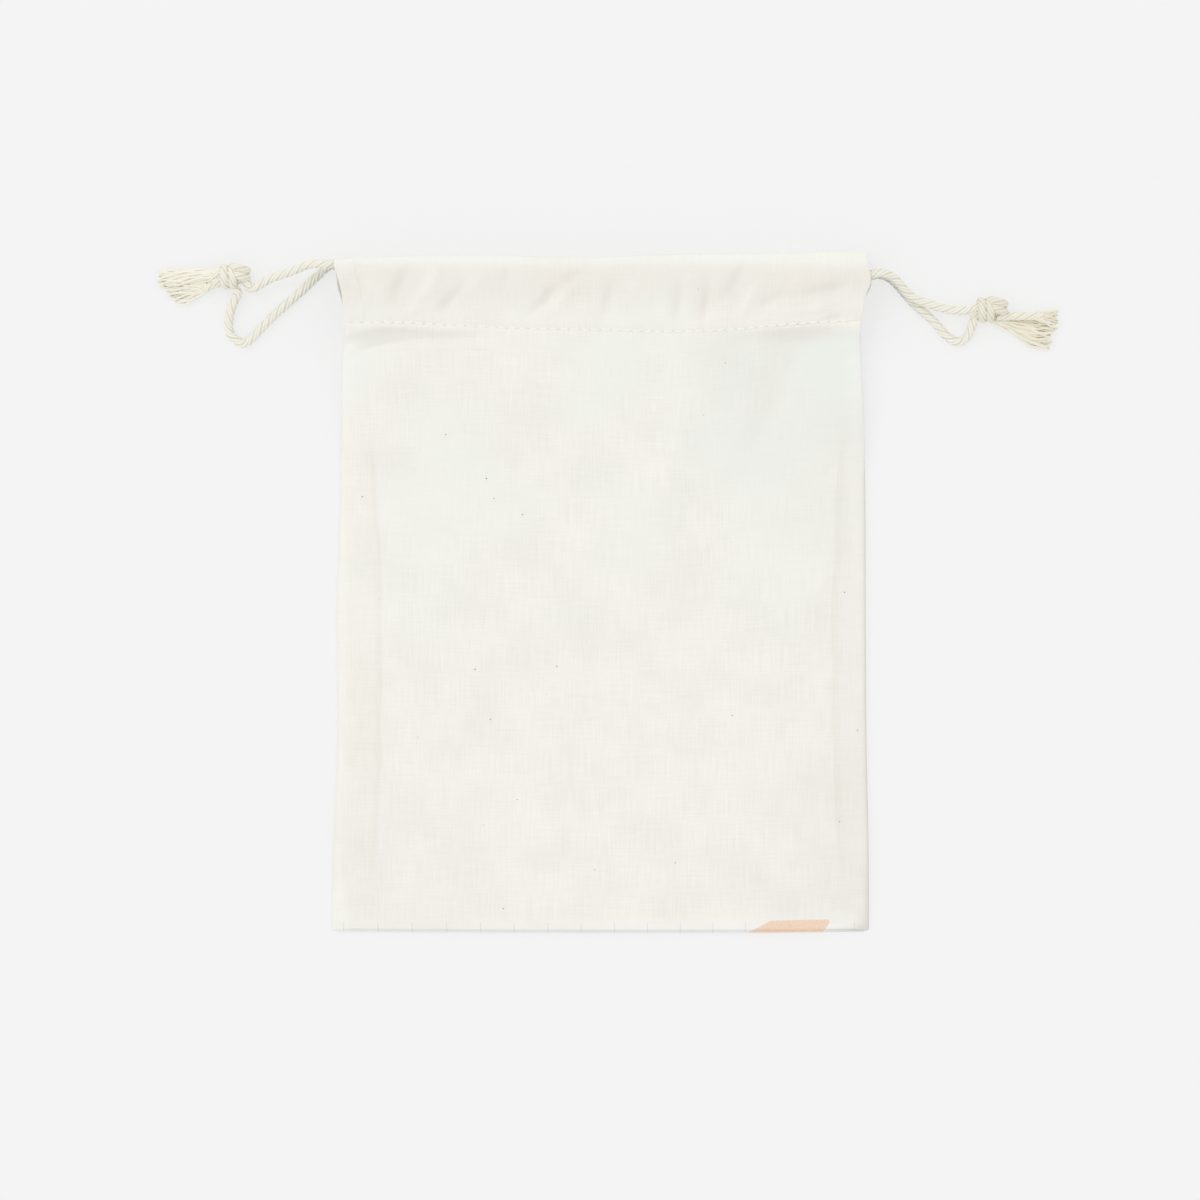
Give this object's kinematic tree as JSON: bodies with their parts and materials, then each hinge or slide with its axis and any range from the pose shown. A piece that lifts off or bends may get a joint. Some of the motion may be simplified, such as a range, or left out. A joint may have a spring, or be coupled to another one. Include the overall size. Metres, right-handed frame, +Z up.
{
  "type": "drawstring pouch",
  "caption": "Flat pouch of thin natural cotton, folded at the bottom and sewn up the sides, with casings at its mouth, side slits and a pair of twisted drawcords tied in overhand knots.",
  "frame": {"origin": "on the surface that the pouch lies on, under the middle of the sewn bag", "axes": "+Z up out of the front panel, +Y from the bottom fold to the mouth, +X to the right as seen from above"},
  "size_m": [0.2672, 0.203, 0.0138],
  "materials": {
    "cotton_cloth": "unbleached plain-weave cotton muslin, matt, with seed flecks",
    "cotton_cord": "twisted natural cotton cord, matt, frayed at its ends",
    "sewing_thread": "cream sewing thread, slight sheen"
  },
  "bodies": {
    "bag": {"front_panel": "cotton_cloth", "back_panel": "cotton_cloth", "front_casing": "cotton_cloth", "back_casing": "cotton_cloth", "front_left_slit_hem": "cotton_cloth", "front_right_slit_hem": "cotton_cloth", "back_left_slit_hem": "cotton_cloth", "back_right_slit_hem": "cotton_cloth", "left_seam_allowance": "cotton_cloth", "right_seam_allowance": "cotton_cloth", "front_casing_stitches": "sewing_thread", "back_casing_stitches": "sewing_thread", "left_seam_stitches": "sewing_thread", "right_seam_stitches": "sewing_thread"},
    "left_cord": {"left_cord_front_run": "cotton_cord", "left_cord_back_run": "cotton_cord", "left_cord_far_turn": "cotton_cord", "left_cord_front_strand": "cotton_cord", "left_cord_back_strand": "cotton_cord", "left_cord_knot": "cotton_cord", "left_cord_upper_tail": "cotton_cord", "left_cord_lower_tail": "cotton_cord"},
    "right_cord": {"right_cord_front_run": "cotton_cord", "right_cord_back_run": "cotton_cord", "right_cord_far_turn": "cotton_cord", "right_cord_front_strand": "cotton_cord", "right_cord_back_strand": "cotton_cord", "right_cord_knot": "cotton_cord", "right_cord_upper_tail": "cotton_cord", "right_cord_lower_tail": "cotton_cord"}
  },
  "joints": [
    {"name": "left_draw", "type": "slide", "parent": "bag", "child": "left_cord", "axis": [-1, 0, 0], "range_m": [0, 0.05], "deforming": ["left_cord_far_turn"]},
    {"name": "right_draw", "type": "slide", "parent": "bag", "child": "right_cord", "axis": [1, 0, 0], "range_m": [0, 0.05], "deforming": ["right_cord_far_turn"]}
  ]
}
